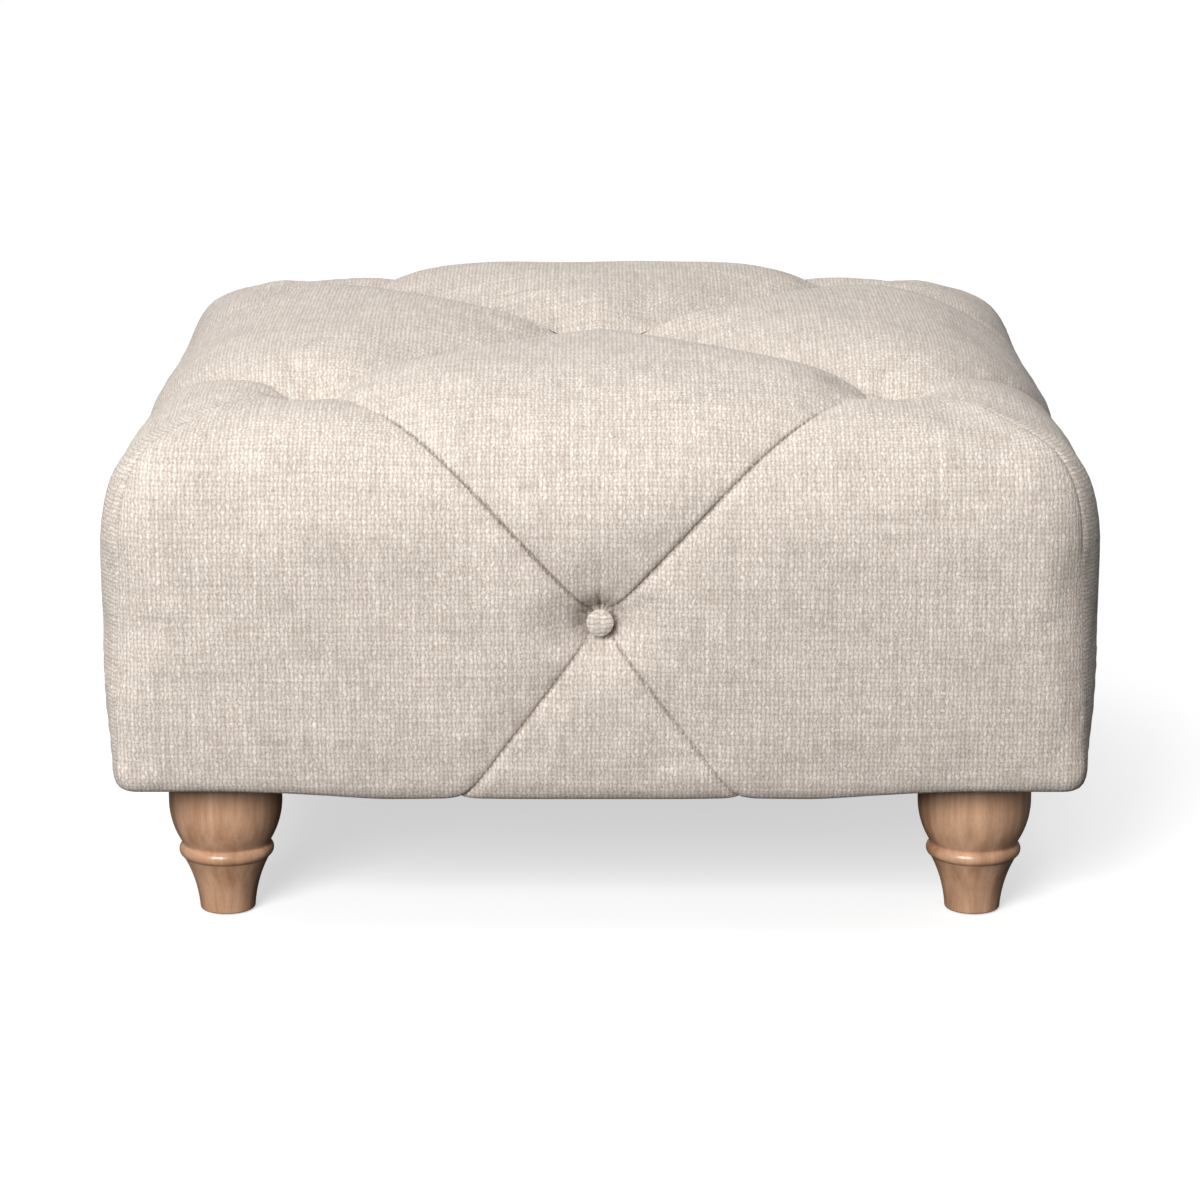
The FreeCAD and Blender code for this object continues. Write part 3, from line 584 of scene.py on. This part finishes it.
def surround_row(share, half, radius, z):
    """Points of a rounded square's half side, by their share of the way to its diagonal."""
    width = half - radius + radius * math.pi / 4
    across = np.abs(share) * width
    angle = np.clip(across - (half - radius), 0, None) / max(radius, 1e-6)
    x = np.minimum(across, half - radius) + radius * np.sin(angle)
    y = -(half - radius + radius * np.cos(angle))
    return np.stack([np.sign(share) * x, y, np.full(x.shape, z)], -1)


def foam_block(name, low, high, rounding, crown, cells=22):
    """A soft block: a cube's grid drawn onto a rounded box whose faces swell a little."""
    half, middle = (high - low) / 2, (high + low) / 2
    rounding = min(rounding, half.min() * 0.98)
    steps = np.sin(np.linspace(-math.pi / 2, math.pi / 2, cells + 1))
    a, b = np.meshgrid(steps, steps, indexing="ij")
    points, faces = [], []
    for axis in range(3):
        for side in (-1, 1):
            cube = np.zeros(a.shape + (3,))
            cube[..., axis], cube[..., (axis + 1) % 3], cube[..., (axis + 2) % 3] = side, a, b
            core = np.clip(cube * half, rounding - half, half - rounding)
            reach = cube * half - core
            reach /= np.linalg.norm(reach, axis=-1)[..., None]
            swell = crown * (1 - a ** 2) * (1 - b ** 2) - crown
            spot = core + reach * (rounding + np.minimum(swell, 0))[..., None] + middle
            faces.append(grid_faces(*a.shape, len(points) * a.size, side > 0))
            points.append(spot.reshape(-1, 3))
    return mesh_piece(name, np.concatenate(points), np.concatenate(faces))


def make_button(name, seat, direction):
    """A covered button: a domed cap with its fabric turned under, and a tuft behind it.

    A profile of radius against height is turned about the button's axis. Under the rim the
    radius is waved, as the fabric is pleated there.
    """
    r = BUTTON_RADIUS
    dome = np.linspace(0, 1, 14)
    turned = np.linspace(0, math.pi, 10)[1:]
    radius = np.concatenate([(r - 0.9) * dome, r - 0.9 + 0.9 * np.sin(turned), [r - 3, 3.6, 2.5, 2.5, 0]])
    height = np.concatenate([6.0 - 2.4 * dome ** 3.2, 2.4 + 1.2 * np.cos(turned),
                             [1.2, 0.6, -0.4, -SHANK_LENGTH, -SHANK_LENGTH]])
    angle = np.linspace(0, 2 * math.pi, 73)[:-1]
    pleat = 1 + 0.012 * np.cos(18 * angle) * (height < 1.5)[:, None] * (height > -1)[:, None]
    ring = radius[:, None] * pleat
    axis = np.array(direction, float)
    first = np.array([0, 0, 1.0]) if abs(axis[2]) < 0.5 else np.array([1.0, 0, 0])
    second = np.cross(axis, first)
    points = seat + axis * height[:, None, None] + ring[..., None] * (
        first * np.cos(angle)[:, None] + second * np.sin(angle)[:, None])
    points = np.concatenate([points, points[:, :1]], 1)
    flat = np.stack([radius[:, None] * np.cos(angle), radius[:, None] * np.sin(angle)], -1)
    flat = np.concatenate([flat, flat[:, :1]], 1).reshape(-1, 2)
    return mesh_piece(name, points.reshape(-1, 3), grid_faces(*points.shape[:2], 0, True), flat)


def make_dust_cover():
    """The black cloth stapled under the frame: a sheet that sags a little between its edges."""
    low, high = box_mm("dust_cover")
    steps = np.linspace(low[0], high[0], 73)
    x, y = np.meshgrid(steps, steps, indexing="ij")
    edge = np.clip(1 - (x / high[0]) ** 2, 0, 1) * np.clip(1 - (y / high[1]) ** 2, 0, 1)
    feet = np.clip((np.hypot(np.abs(x) - FOOT_AXIS, np.abs(y) - FOOT_AXIS) - 52) / 70, 0, 1)
    ripple = 0.15 * np.sin(x / 23) * np.sin(y / 31)
    z = high[2] - (2.2 * edge ** 0.8 * smooth(feet)) + ripple * edge * smooth(feet)
    points = np.stack([x, y, z], -1).reshape(-1, 3)
    piece = mesh_piece("dust_sheet", points, grid_faces(73, 73, 0, False))
    skin = piece.modifiers.new("skin", "SOLIDIFY")
    skin.thickness = (high[2] - low[2]) * MM
    skin.offset = -1
    return piece


def colour(hex_value):
    """An sRGB hex colour as linear RGBA."""
    parts = [int(hex_value[i:i + 2], 16) / 255 for i in (0, 2, 4)]
    return [p / 12.92 if p <= 0.04045 else ((p + 0.055) / 1.055) ** 2.4 for p in parts] + [1.0]


def node(material, kind, inputs=(), **settings):
    """Adds a node with its settings; an input is a value or another node's output."""
    made = material.node_tree.nodes.new(kind)
    for key, value in settings.items():
        setattr(made, key, value)
    for key, value in dict(inputs).items():
        socket = made.inputs[key]
        if isinstance(value, bpy.types.NodeSocket):
            material.node_tree.links.new(value, socket)
        else:
            socket.default_value = value
    return made


def new_material(name):
    material = bpy.data.materials.new(name)
    material.use_nodes = True
    material.node_tree.nodes.clear()
    return material


def maths(material, operation, *values):
    """A maths node's output from values or other outputs."""
    return node(material, "ShaderNodeMath", dict(enumerate(values)), operation=operation).outputs[0]


def finish_material(material, settings, bump=None):
    """The principled shader and the output, with an optional bump of (height, distance, strength)."""
    shader = node(material, "ShaderNodeBsdfPrincipled", settings)
    if bump is not None:
        height, distance, strength = bump
        normal = node(material, "ShaderNodeBump", {"Height": height, "Distance": distance, "Strength": strength})
        material.node_tree.links.new(normal.outputs["Normal"], shader.inputs["Normal"])
    node(material, "ShaderNodeOutputMaterial", {"Surface": shader.outputs[0]})
    return material


def mixed(material, factor, first, second, blend="MIX"):
    made = node(material, "ShaderNodeMix", data_type="RGBA", blend_type=blend)
    for index, value in ((0, factor), (6, first), (7, second)):
        socket = made.inputs[index]
        if isinstance(value, bpy.types.NodeSocket):
            material.node_tree.links.new(value, socket)
        else:
            socket.default_value = value
    return made.outputs[2]


def noise(material, vector, scale, detail=2.0, roughness=0.5):
    inputs = {"Vector": vector, "Scale": scale, "Detail": detail, "Roughness": roughness}
    return node(material, "ShaderNodeTexNoise", inputs).outputs["Fac"]


def stretched(material, vector, scale):
    return node(material, "ShaderNodeMapping", {"Vector": vector, "Scale": scale}).outputs[0]


def linen(name, light, gap, rib=3.5, pick=3.8, shade_from_crease=True):
    """Undyed linen-look weave: thick slubby threads, pale on top and dark between them.

    The threads are sines of the two weave coordinates in metres. Whichever thread lies on top
    changes like a chequer. Noise bends the threads and thickens them here and there. rib and
    pick are the thread spacings in millimetres, drawn a little coarse so that they show.
    """
    material = new_material(name)
    flat = node(material, "ShaderNodeUVMap", uv_map="weave").outputs[0]
    bend = node(material, "ShaderNodeTexNoise", {"Vector": flat, "Scale": 210.0, "Detail": 3.0}).outputs["Color"]
    bend = node(material, "ShaderNodeVectorMath", {0: bend, 1: (0.5, 0.5, 0.5)}, operation="SUBTRACT").outputs[0]
    bend = node(material, "ShaderNodeVectorMath", {0: bend, 1: (0.0064, 0.0062, 0)}, operation="MULTIPLY").outputs[0]
    bent = node(material, "ShaderNodeVectorMath", {0: flat, 1: bend}, operation="ADD").outputs[0]
    parts = node(material, "ShaderNodeSeparateXYZ", {0: bent})
    across = maths(material, "MULTIPLY", parts.outputs[0], math.pi / (rib * MM))
    along = maths(material, "MULTIPLY", parts.outputs[1], math.pi / (pick * MM))
    warp = maths(material, "SINE", across)
    weft = maths(material, "SINE", along)
    chequer = maths(material, "MULTIPLY", warp, weft)
    over = maths(material, "ADD", maths(material, "MULTIPLY", chequer, 0.75), 0.6)
    over = node(material, "ShaderNodeClamp", {0: over}).outputs[0]
    warp_round = maths(material, "POWER", maths(material, "ABSOLUTE", warp), 0.7)
    weft_round = maths(material, "POWER", maths(material, "ABSOLUTE", weft), 0.5)
    warp_slub = noise(material, stretched(material, flat, (260, 42, 1)), 1.0, 3.0, 0.6)
    weft_slub = noise(material, stretched(material, flat, (42, 260, 1)), 1.0, 3.0, 0.6)
    warp_high = maths(material, "MULTIPLY_ADD", maths(material, "MULTIPLY", warp_slub, 1.5), warp_round, 0.08)
    weft_high = maths(material, "MULTIPLY_ADD", maths(material, "MULTIPLY", weft_slub, 1.15), weft_round, 0.14)
    height = node(material, "ShaderNodeMix", {0: over, 2: weft_high, 3: warp_high}, data_type="FLOAT").outputs[0]
    fine = noise(material, flat, 1100.0, 4.0, 0.65)
    height = maths(material, "ADD", height, maths(material, "MULTIPLY", fine, 0.75))
    share = node(material, "ShaderNodeMapRange", {0: height, 1: 0.45, 2: 1.35}, clamp=True).outputs[0]
    tint = mixed(material, share, colour(gap), colour(light))
    streak = noise(material, stretched(material, flat, (230, 9, 1)), 1.0, 1.0)
    cross_streak = noise(material, stretched(material, flat, (7, 190, 1)), 1.0, 1.0)
    patch = maths(material, "ADD", noise(material, flat, 24.0, 3.0), maths(material, "ADD", streak, cross_streak))
    patch = node(material, "ShaderNodeMapRange", {0: patch, 1: 1.0, 2: 2.0, 3: 0.87, 4: 1.11}).outputs[0]
    shade = node(material, "ShaderNodeCombineColor", {0: patch, 1: patch, 2: patch}).outputs[0]
    tint = mixed(material, 1.0, tint, shade, "MULTIPLY")
    # Painted shade: the cloth darkens towards 5E4F43 in the creases, at the buttons' rims and in the side pleats,
    # most in the gaps between threads.
    if shade_from_crease:
        crease_shade = node(material, "ShaderNodeAttribute", attribute_name="crease_shade").outputs["Fac"]
        deep = maths(material, "SUBTRACT", 1.5, maths(material, "MULTIPLY", share, 1.15))
        crease_shade = node(material, "ShaderNodeClamp", {0: maths(material, "MULTIPLY", crease_shade, deep)}).outputs[0]
        tint = mixed(material, maths(material, "MULTIPLY", crease_shade, 0.6), tint, colour("5E4F43"))
    settings = {"Base Color": tint, "Roughness": 0.92, "Specular IOR Level": 0.2,
                "Sheen Weight": 0.12, "Sheen Roughness": 0.5}
    return finish_material(material, settings, (height, 0.0006, 0.62))


def plain(name, hex_value, roughness, grain=0.0, scale=400.0, **settings):
    """A plain finish with a faint mottle in its colour and a fine bump."""
    material = new_material(name)
    place = node(material, "ShaderNodeTexCoord").outputs["Object"]
    mottle = noise(material, place, scale, 3.0)
    dark = [0.82 * c for c in colour(hex_value)[:3]] + [1.0]
    tint = mixed(material, mottle, dark, colour(hex_value))
    settings = {"Base Color": tint, "Roughness": roughness, **settings}
    return finish_material(material, settings, (mottle, 0.0004, grain) if grain else None)


def timber(name, light, dark, along, roughness, ring=90.0, settings=(), bump=0.12):
    """Sawn or turned wood: growth bands and fine pores drawn out along one axis."""
    material = new_material(name)
    place = node(material, "ShaderNodeTexCoord").outputs["Object"]
    draw = [1.0, 1.0, 1.0]
    draw["xyz".index(along)] = 0.07
    bands = stretched(material, place, draw)
    wander = noise(material, bands, 14.0, 2.0)
    band = noise(material, bands, ring, 4.0, 0.6)
    band = maths(material, "ADD", maths(material, "MULTIPLY", band, 0.7), maths(material, "MULTIPLY", wander, 0.3))
    pores = noise(material, bands, 1500.0, 2.0)
    share = node(material, "ShaderNodeMapRange", {0: band, 1: 0.36, 2: 0.64}, clamp=True).outputs[0]
    tint = mixed(material, share, colour(dark), colour(light))
    fleck = node(material, "ShaderNodeMapRange", {0: pores, 1: 0.3, 2: 0.45, 3: 0.82, 4: 1.0}, clamp=True).outputs[0]
    shade = node(material, "ShaderNodeCombineColor", {0: fleck, 1: fleck, 2: fleck}).outputs[0]
    tint = mixed(material, 1.0, tint, shade, "MULTIPLY")
    inputs = {"Base Color": tint, "Roughness": roughness, **dict(settings)}
    return finish_material(material, inputs, (pores, 0.0002, bump))


def dress(material, *endings):
    """Gives a material to the CAD nodes whose names end so."""
    for name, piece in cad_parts.items():
        if name.endswith(endings):
            piece.data.materials.clear()
            piece.data.materials.append(material)


# The soft pieces. The linen-look cloth is matt with a faint sheen, and closer drawn on the
# buttons. Bonded fibre is white and fuzzy, foam is cream and finely pitted, and the dust cloth
# is flat black.
# The cover's cloth has painted shade in its creases, at its buttons' rims and in its pleats; the buttons' cloth has
# none.
cover_linen = linen("oatmeal_linen", "ECE3DB", "988674")
button_linen = linen("oatmeal_linen_button", "EEE6DD", "9C8B7B", 4.0, 4.3, False)
fibre = plain("bonded_fibre", "F1EFE8", 0.95, 0.6, 900.0)
foam = plain("open_cell_foam", "EBDDB0", 0.9, 0.8, 1300.0)
cambric = plain("black_dust_cloth", "1E1E1F", 0.9, 0.3, 2500.0)

cover = make_cover()
cover.data.materials.append(cover_linen)
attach(cover, "root")
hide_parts("fabric_cover")

padding = make_padding()
padding.data.materials.append(fibre)
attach(padding, "root")
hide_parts("fibre_padding")

for side in ("front", "right", "rear", "left"):
    strip_low, strip_high = box_mm(f"{side}_foam")
    strip = foam_block(f"{side}_foam_strip", strip_low, strip_high, 4.5, 0.8)
    strip.data.materials.append(foam)
    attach(strip, "root")
    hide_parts(f"{side}_foam")

slab = foam_block("top_foam_slab", TOP_FOAM_LOW, TOP_FOAM_HIGH, TOP_FOAM_ROUNDING, 3.0, 40)
slab.data.materials.append(foam)
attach(slab, "root")
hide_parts("top_foam")

for name in [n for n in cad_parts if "button" in n and n != "button_twines"]:
    low, high = box_mm(name)
    if name.startswith("top"):
        direction = (0, 0, 1)
        seat = np.array([(low[0] + high[0]) / 2, (low[1] + high[1]) / 2, low[2] + SHANK_LENGTH])
    else:
        direction = {"front": (0, -1, 0), "right": (1, 0, 0),
                     "rear": (0, 1, 0), "left": (-1, 0, 0)}[name.split("_")[0]]
        axis = np.array(direction)
        outer = (np.where(axis > 0, high, low) * np.abs(axis)) @ np.abs(axis)
        seat = (low + high) / 2 * (1 - np.abs(axis)) + np.abs(axis) * (outer - BUTTON_CROWN * axis.sum())
    button = make_button(name + "_covered", seat, direction)
    button.data.materials.append(button_linen)
    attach(button, "root")
    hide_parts(name)

dust_sheet = make_dust_cover()
dust_sheet.data.materials.append(cambric)
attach(dust_sheet, "root")
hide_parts("dust_cover")

# The frame, the feet and the small hard parts. The feet are stained hardwood under a thin
# satin lacquer. Sawn softwood and plywood are dry and pale, hardboard is dull brown, the glides
# and discs are moulded nylon with a soft gloss, and the fixings have grey, smooth zinc on them.
dress(timber("turned_hardwood", "DFB392", "AB7D5F", "z", 0.34, 70.0,
             {"Coat Weight": 0.4, "Coat Roughness": 0.16}.items(), 0.05), "_foot")
softwood = {axis: timber("softwood_" + axis, "E2C08C", "C59A63", axis, 0.6, 60.0) for axis in "xyz"}
dress(softwood["x"], "front_bottom_rail", "rear_bottom_rail", "front_top_rail",
      "rear_top_rail", "_corner_block")
dress(softwood["y"], "left_bottom_rail", "right_bottom_rail", "left_top_rail",
      "right_top_rail", "_cross_rail")
dress(softwood["z"], "_post")
dress(timber("birch_ply", "E6CFA4", "D0B180", "x", 0.55, 40.0), "deck")
dress(plain("brown_hardboard", "7A5538", 0.6, 0.2, 600.0), "_panel")
dress(plain("brown_nylon", "4A3C30", 0.45), "_glide")
dress(plain("zinc_plate", "B9B9B4", 0.32, 0.0, 250.0, Metallic=1.0),
      "hanger_bolts", "tee_nuts", "_screws", "_pins", "_staples")
dress(plain("waxed_twine", "DCD5C6", 0.7, 0.5, 1500.0), "button_twines")
dress(plain("nylon_disc", "D2CCBE", 0.4), "twine_anchors")

# Floor, lights and camera
scene = bpy.context.scene
bpy.ops.mesh.primitive_plane_add(size=60)
floor = bpy.context.object
floor.name = "floor"
floor_material = new_material("pale_floor")
bare = node(floor_material, "ShaderNodeBsdfDiffuse", {"Color": (0.07, 0.07, 0.07, 1)})
shaded = node(floor_material, "ShaderNodeBsdfDiffuse", {"Color": (0.95, 0.95, 0.95, 1)})
glow = node(floor_material, "ShaderNodeEmission", {"Strength": 1.68})
seen = node(floor_material, "ShaderNodeMixShader", {0: 0.64, 1: glow.outputs[0], 2: shaded.outputs[0]})
path = node(floor_material, "ShaderNodeLightPath")
shader = node(floor_material, "ShaderNodeMixShader",
              {0: path.outputs["Is Camera Ray"], 1: bare.outputs[0], 2: seen.outputs[0]})
node(floor_material, "ShaderNodeOutputMaterial", {"Surface": shader.outputs[0]})
floor.data.materials.append(floor_material)

world = bpy.data.worlds.new("studio")
world.use_nodes = True
scene.world = world
world.node_tree.nodes["Background"].inputs["Color"].default_value = (1, 1, 1, 1)
world.node_tree.nodes["Background"].inputs["Strength"].default_value = 0.15

softbox = bpy.data.lights.new("key", "AREA")
softbox.energy = 188
softbox.size = 2.0
key = bpy.data.objects.new("key", softbox)
key.location = (-1.35, -3.6, 2.05)
key.rotation_euler = (Vector((0, 0, 0.25)) - key.location).to_track_quat("-Z", "Y").to_euler()
scene.collection.objects.link(key)
sun = bpy.data.lights.new("overhead", "SUN")
sun.energy = 1.7
sun.angle = math.radians(80)
overhead = bpy.data.objects.new("overhead", sun)
overhead.rotation_euler = (math.radians(-22), 0, math.radians(20))
scene.collection.objects.link(overhead)

camera_data = bpy.data.cameras.new("camera")
camera_data.lens = 118.8
camera_data.sensor_width = 36
camera = bpy.data.objects.new("camera", camera_data)
camera.location = (0, -3.464, 1.051)
camera.rotation_euler = (math.radians(76.0), 0, 0)
scene.collection.objects.link(camera)
scene.camera = camera
scene.view_settings.view_transform = "Standard"
